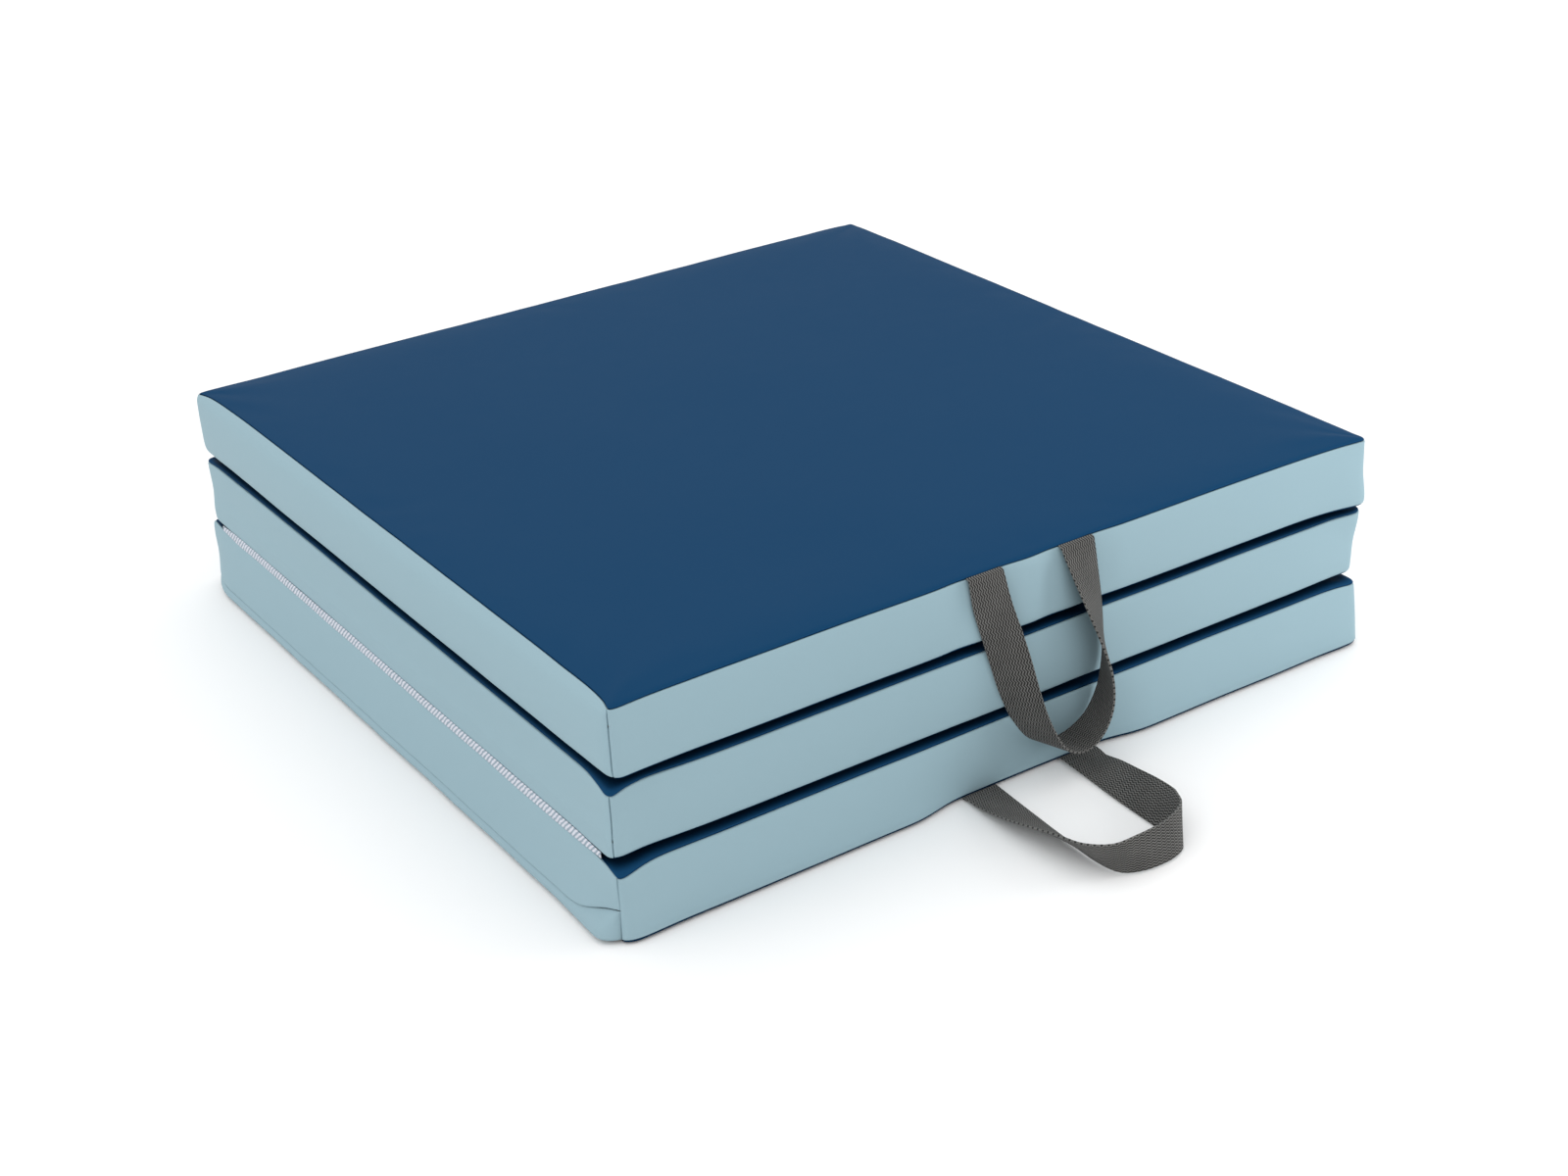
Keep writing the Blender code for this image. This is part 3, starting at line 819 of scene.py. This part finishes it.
def flap_moves(cover):
    """How the lowest panel's zip wall hangs out: a flap over the zip, and a slack roll of cloth under it."""
    rings = len(cover.rows) * ROUND
    y, z = cover.points[:rings].reshape(-1, ROUND, 3)[:, :, 1:].transpose(2, 0, 1)
    from_front = np.maximum(y - y[:, :1], 0)
    from_back = np.maximum(y[:, 3 * SIDE : 3 * SIDE + 1] - y, 0)
    wave = np.array([[lip_wave(place) for place in row] for row in y])
    slit = cover.zip_line()[None, :]
    level = 1 - np.clip((slit - cover.zip_up) / ZIP_CLIMB, 0, 1)
    back = rounded(from_back, FLAP_ENDS[1])
    ends = rounded(from_front, FLAP_ENDS[0]) * back
    lip_rise = ends * level * (wave * LIP_WAVE_UP - FLAP_HANG)

    lip = np.clip(1 - (z - slit) / LIP_REACH, 0, 1)
    share = np.clip(z / THICK, 0, 1)
    flap_out = ends * (FLAP_OUT * (1 - share) ** 1.1 + wave * LIP_WAVE_OUT * lip)
    flap_up = lip * lip_rise

    over_out, over_up = LIP_OVER
    flap_lip = ends * (FLAP_OUT * (1 - slit / THICK) ** 1.1 + wave * LIP_WAVE_OUT)
    up = np.clip(z / slit, 0, 1)
    under = np.sqrt(np.clip((z - ROLL_FOOT[0]) / ROLL_FOOT[1], 0, 1))
    slack = ROLL_OUT + (1 - level) * ROLL_CORNER + wave * ROLL_WAVE * level
    corner = rounded(from_front, ROLL_END, 0.5) * back
    roll_out = under * (np.maximum(flap_lip - over_out, 0) * up**3 + corner * slack * (1 - up**3))
    roll_up = z * (lip_rise + over_up) / slit * up

    moves = {part: np.zeros((len(cover.points), 3)) for part in FLATTENED}
    for part, out, rise in zip(FLATTENED, (flap_out, roll_out), (flap_up, roll_up)):
        moves[part][:rings, 0], moves[part][:rings, 2] = -out.ravel(), rise.ravel()
    return moves


WALL_NAMES = ("front", "right", "back", "left")
for cover in covers.values():
    cover.normal = cover.normals()
    moves = flap_moves(cover) if cover.name == "lower" else {}
    body = f"{cover.name}_panel"
    last = len(cover.rows) - 1
    sheets = {
        "top_sheet": cover.grid_faces(False) + cover.row_faces(0, cover.seam_top),
        "bottom_sheet": cover.row_faces(cover.seam_bottom, last) + cover.grid_faces(True),
    }
    for word, faces in sheets.items():
        name = f"{cover.name}_{word}"
        piece = cut_piece(cover, f"{name}_cover", faces, NAVY, name, body)
    for wall, word in enumerate(WALL_NAMES):
        span = (wall * SIDE, (wall + 1) * SIDE)
        if wall == cover.zip_wall:
            parts = {
                "zip_band_above": cover.row_faces(cover.seam_top, cover.split, *span),
                "zip_band_below": cover.row_faces(cover.split, cover.seam_bottom, *span),
            }
        else:
            parts = {f"{word}_band": cover.row_faces(cover.seam_top, cover.seam_bottom, *span)}
        for part, faces in parts.items():
            name = f"{cover.name}_{part}"
            piece = cut_piece(cover, f"{name}_cover", faces, PALE, name, body, moves.get(part))
            if part in moves:
                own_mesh(piece)


# ---------------------------------------------------------------------------------------------------
# Foam blocks
# ---------------------------------------------------------------------------------------------------

# The groove behind the zip: its depth, and how far it reaches from the middle of the zip, up and along.
GROOVE_DEPTH = 7.6 * MM
GROOVE_UP = 8.5 * MM
GROOVE_ALONG = 290 * MM


def foam_block(cover):
    """The foam inside a cover: the cover's own form, a little smaller, with a groove behind the zip."""
    obj, used = cover.closed_mesh(f"{cover.name}_foam_block", FOAM)
    gap = PLY + TURN_IN
    side = -1 if cover.zip_wall == LEFT else 1
    floor = HALF - GROOVE_DEPTH
    for vertex, source in zip(obj.data.vertices, used):
        point = Vector(cover.points[source]) - Vector(cover.normal[source]) * gap
        near = abs(point.z - cover.base - cover.zip_up) < GROOVE_UP and abs(point.y) < GROOVE_ALONG
        if near and point.x * side > floor:
            point.x = side * floor
        vertex.co = point
    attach(obj, f"{cover.name}_panel")
    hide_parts(f"{cover.name}_foam_core")


for cover in covers.values():
    foam_block(cover)


# ---------------------------------------------------------------------------------------------------
# Webbing handles
# ---------------------------------------------------------------------------------------------------

WEBBING_WIDTH = 27.2 * MM
WEBBING_THICK = 1.6 * MM
STRAP_ROWS = 14
STRAP_COLUMNS = 12
CLEAR = 0.3 * MM
SEAM_DROP = 1.4 * MM
TUCK = Vector((0, 3.0 * MM, 0))


def smooth_rows(stations, per_span):
    """A Catmull-Rom curve through rows of numbers, with per_span rows from each one to the next."""
    rows = np.array(stations, float)
    rows = np.vstack([2 * rows[0] - rows[1], rows, 2 * rows[-1] - rows[-2]])
    out = []
    for k in range(1, len(rows) - 2):
        a, b, c, d = rows[k - 1 : k + 3]
        for step in range(per_span):
            t = step / per_span
            out.append(((2 * b) + (c - a) * t + (2 * a - 5 * b + 4 * c - d) * t**2
                        + (3 * b - a - 3 * c + d) * t**3) / 2)
    return out + [rows[-2]]


def upper_rails():
    """The hanging loop. Each station is x, z and the webbing's turn in degrees."""
    top = STACK - SEAM_DROP
    stations = (
        (-0.0300, top, 0), (-0.0268, 0.137, 11), (-0.0210, 0.115, 22), (-0.0155, 0.093, 34),
        (-0.0097, 0.070, 46), (-0.0015, 0.048, 57), (0.0115, 0.028, 70), (0.0300, 0.0215, 85),
        (0.0480, 0.029, 98), (0.0585, 0.046, 106), (0.0608, 0.068, 116), (0.0575, 0.091, 130),
        (0.0530, 0.114, 146), (0.0480, 0.137, 162), (0.0440, top, 180),
    )
    wall = -HALF - CLEAR - WEBBING_THICK / 2
    rails = []
    for x, z, degrees in smooth_rows(stations, STRAP_ROWS):
        a = math.radians(degrees)
        half = Vector((math.cos(a), -math.sin(a), 0)) * WEBBING_WIDTH / 2
        centre = Vector((x, wall - abs(half.y), z))
        rails.append((centre - half, centre + half))
    return rails


def lower_rails():
    """The loop out on the floor. Each station is its floor edge, and the lean of its other edge."""
    stations = (
        (-0.0204, -0.3056, -1, 0), (-0.0222, -0.327, -0.99, 0), (-0.0240, -0.350, -0.95, 0),
        (-0.0256, -0.372, -0.86, 0), (-0.0264, -0.392, -0.74, -0.05), (-0.0270, -0.412, -0.58, -0.18),
        (-0.0235, -0.429, -0.32, -0.14), (-0.0120, -0.4365, -0.08, 0.04), (0.0050, -0.4385, 0.03, 0.18),
        (0.0185, -0.436, 0.13, 0.30), (0.0262, -0.430, 0.27, 0.36), (0.0272, -0.416, 0.45, 0.20),
        (0.0276, -0.397, 0.68, 0), (0.0292, -0.366, 0.90, 0), (0.0322, -0.333, 0.99, 0),
        (0.0345, -0.3056, 1, 0),
    )
    rest = WEBBING_THICK / 2 + CLEAR
    rails = []
    for x, y, lean_x, lean_y in smooth_rows(stations, STRAP_ROWS):
        up = math.sqrt(max(0, 1 - lean_x**2 - lean_y**2))
        edge = Vector((x, y, rest))
        rails.append((edge, edge + Vector((lean_x, lean_y, up)) * WEBBING_WIDTH))
    return rails


def handle(level, rails):
    """A webbing strap with rounded selvedges. Both ends run on into the seam they are sewn into."""
    first = [tuple(p + TUCK * share for p in rails[0]) for share in (1, 0.5)]
    last = [tuple(p + TUCK * share for p in rails[-1]) for share in (0.5, 1)]
    rails = first + rails + last
    points, uvs, length = [], [], 0.0
    for k, (a, b) in enumerate(rails):
        if k:
            before = (rails[k - 1][0] + rails[k - 1][1]) / 2
            length += ((a + b) / 2 - before).length
        for t in fractions(STRAP_COLUMNS):
            points.append(a.lerp(b, t))
            uvs.append((length, t * WEBBING_WIDTH))
    obj = new_mesh(f"{level}_webbing_handle", points, strip_faces(len(rails), STRAP_COLUMNS + 1), WEBBING)
    layer = obj.data.uv_layers.new(name="weave")
    for loop in obj.data.loops:
        layer.data[loop.index].uv = uvs[loop.vertex_index]
    thicken(obj, WEBBING_THICK, 0)
    subdivide(obj)
    bake(obj)
    obj.data.shade_smooth()
    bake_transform(obj)
    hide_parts(f"{level}_handle_strap")


handle("upper", upper_rails())
handle("lower", lower_rails())


# ---------------------------------------------------------------------------------------------------
# Fold tapes
# ---------------------------------------------------------------------------------------------------


TAPE_STEP = 1.05 * MM
TAPE_COLUMNS = 14
TAPE_WIDTH = 7.2 * MM
TAPE_WIDTH_WAVE = 1.2 * MM
TAPE_WAVE = 0.5 * MM
TAPE_TAPER = 30 * MM
TAPE_END = 0.6
STITCH_RISE = 0.28 * MM
EDGE_SINK = 0.3 * MM
TAPE_PLY = 0.7
TAPE_BEND = 1.6 * MM


def fold_tape(fold, below, above):
    """One strip of tape across a fold, with slanting stitches raised on it. It is narrower at its ends."""
    low_node, high_node = f"{fold}_leaf_{below}", f"{fold}_leaf_{above}"
    low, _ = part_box(low_node)
    _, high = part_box(high_node)
    side = -1 if low.x < 0 else 1
    x, middle = (low.x + high.x) / 2, (low.z + high.z) / 2
    lengths = np.arange(low.y, high.y, TAPE_STEP)
    shares = fractions(TAPE_COLUMNS, 0.5)
    points = []
    for y in lengths:
        wave = TAPE_WAVE * noise.noise(Vector((y * 25, 3.1 * side, 0)))
        end = TAPE_END + (1 - TAPE_END) * ease(min(y - low.y, high.y - y) / TAPE_TAPER)
        width = end * (TAPE_WIDTH + TAPE_WIDTH_WAVE * noise.noise(Vector((y * 14, 8.3, side))))
        for across in shares:
            z = middle + width * (across - 0.5)
            from_edge = min(across, 1 - across)
            phase = ((y + STITCH_SLANT * z) / STITCH_PITCH) % 1
            stitch = STITCH_RISE * max(0, 1 - abs(phase - 0.5) * 4) * min(1, 6 * from_edge)
            sink = EDGE_SINK * (1 - min(1, 5 * from_edge))
            points.append((x + side * (stitch - sink), y, z + wave))
    faces = strip_faces(len(lengths), len(shares))
    obj = new_mesh(f"{fold}_tape", points, faces if side < 0 else [face[::-1] for face in faces], FOLD_TAPE)
    thicken(obj, (high.x - low.x) * TAPE_PLY)
    bake(obj)
    obj.data.shade_smooth()
    hinge = JOINTS[fold]["pos_m"]
    start, end = (hinge[0], 0, hinge[2] - TAPE_BEND), (hinge[0], 0, hinge[2] + TAPE_BEND)
    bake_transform(obj)
    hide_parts(low_node, high_node)


fold_tape("lower_fold", "lower", "middle")
fold_tape("upper_fold", "middle", "upper")


# ---------------------------------------------------------------------------------------------------
# Zips
# ---------------------------------------------------------------------------------------------------

COIL_PITCH = 1.25 * MM
COIL_WIRE = 0.26 * MM
COIL_TURN = 8
COIL_SIDES = 5
METAL_EDGE = 0.14 * MM


def zip_coil(name, word):
    """A nylon coil: one wire wound into a flattened helix along its tape's edge."""
    node = f"{name}_zip_coil_{word}"
    low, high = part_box(node)
    centre, half = (low + high) / 2, (high - low) / 2
    last = round((high.y - low.y) / COIL_PITCH) * COIL_TURN
    angle = np.arange(last + 1) * 2 * math.pi / COIL_TURN
    y = np.linspace(low.y + COIL_WIRE, high.y - COIL_WIRE, last + 1)
    out = np.stack([np.cos(angle), np.zeros(last + 1), np.sin(angle)], axis=1)
    x, z = centre.x + out[:, 0] * (half.x - COIL_WIRE), centre.z + out[:, 2] * (half.z - COIL_WIRE)
    path = np.stack([x, y, z], axis=1)
    sides = np.arange(COIL_SIDES)[None, :, None] * 2 * math.pi / COIL_SIDES
    round_wire = out[:, None] * np.cos(sides) + np.array([0, 1, 0]) * np.sin(sides)
    rings = path[:, None] + COIL_WIRE * round_wire
    point = np.arange((last + 1) * COIL_SIDES).reshape(last + 1, COIL_SIDES)
    beside = np.roll(point, -1, axis=1)
    quads = np.stack([point[:-1], point[1:], beside[1:], beside[:-1]], axis=2).reshape(-1, 4)
    faces = quads.tolist() + [point[0].tolist(), point[-1, ::-1].tolist()]
    obj = new_mesh(f"{name}_coil_{word}", rings.reshape(-1, 3), faces, COIL)
    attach(obj, f"{name}_panel")
    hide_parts(node)


for name in BASES:
    for word in ("above", "below"):
        frame["nodes"][f"{name}_zip_tape_{word}"].data.materials[0] = ZIP_TAPE
        zip_coil(name, word)
    for part in ("zip_stop_front", "zip_stop_back", "zip_slider", "zip_pull"):
        node = frame["nodes"][f"{name}_{part}"]
        node.data.materials[0] = ZINC
        bevel = node.modifiers.new("worn edges", "BEVEL")
        bevel.width = METAL_EDGE
        bevel.segments = 2
        bevel.limit_method = "ANGLE"


# ---------------------------------------------------------------------------------------------------
# Stage, light and camera
# ---------------------------------------------------------------------------------------------------


def stage():
    """A plain pale floor."""
    bpy.ops.mesh.primitive_plane_add(size=30, location=(0, 0, -0.0002))
    floor = bpy.context.active_object
    floor.name = "floor"
    m = Nodes("floor_paint")
    m.set(Base_Color=(0.92, 0.92, 0.92, 1), Roughness=0.9)
    m.set(Specular_IOR_Level=0.0)
    floor.data.materials.append(m.material)


def lamp(name, kind, place, aim, **values):
    """A light at a place, turned towards its aim."""
    light = bpy.data.lights.new(name, kind)
    for key, value in values.items():
        setattr(light, key, value)
    obj = bpy.data.objects.new(name, light)
    obj.location = place
    obj.rotation_euler = (Vector(aim) - obj.location).to_track_quat("-Z", "Y").to_euler()
    bpy.context.scene.collection.objects.link(obj)


def lights():
    """An even white surround, three wide soft suns, and a lamp low on the right for the webbing's relief."""
    world = bpy.data.worlds.new("studio")
    world.use_nodes = True
    surround = world.node_tree.nodes["Background"]
    surround.inputs["Color"].default_value = (1, 1, 1, 1)
    surround.inputs["Strength"].default_value = 1.0
    bpy.context.scene.world = world
    suns = (("above", (0.1, -0.2, 2.0), 60, 0.15), ("fill", (-1.0, -0.15, 1.0), 70, 0.55),
            ("back", (0.2, 1.0, 1.4), 70, 0.25))
    for name, place, spread, power in suns:
        lamp(name, "SUN", place, (0, 0, 0), energy=power, angle=math.radians(spread))
    lamp("right", "AREA", (0.75, -0.75, 0.35), (0.25, -0.30, 0.08), energy=1.9, size=0.3)


def camera():
    """The camera, turned about its own axis by a small roll."""
    azimuth, elevation, roll = math.radians(57.04), math.radians(27.0), math.radians(-2.645)
    distance = 1.8537
    aim = Vector((0.0315, 0.0197, 0))
    level = Vector((math.cos(azimuth), math.sin(azimuth), 0))
    forward = level * math.cos(elevation) - Vector((0, 0, math.sin(elevation)))
    right = forward.cross(Vector((0, 0, 1))).normalized()
    up = right.cross(forward)
    right, up = math.cos(roll) * right + math.sin(roll) * up, math.cos(roll) * up - math.sin(roll) * right
    lens = bpy.data.cameras.new("camera")
    lens.lens = 55.75
    lens.sensor_width = 36
    obj = bpy.data.objects.new("camera", lens)
    turned = Matrix((right, up, -forward)).transposed().to_4x4()
    obj.matrix_world = Matrix.Translation(aim - forward * distance) @ turned
    bpy.context.scene.collection.objects.link(obj)
    bpy.context.scene.camera = obj


stage()
lights()
camera()
bpy.context.scene.view_settings.view_transform = "Standard"
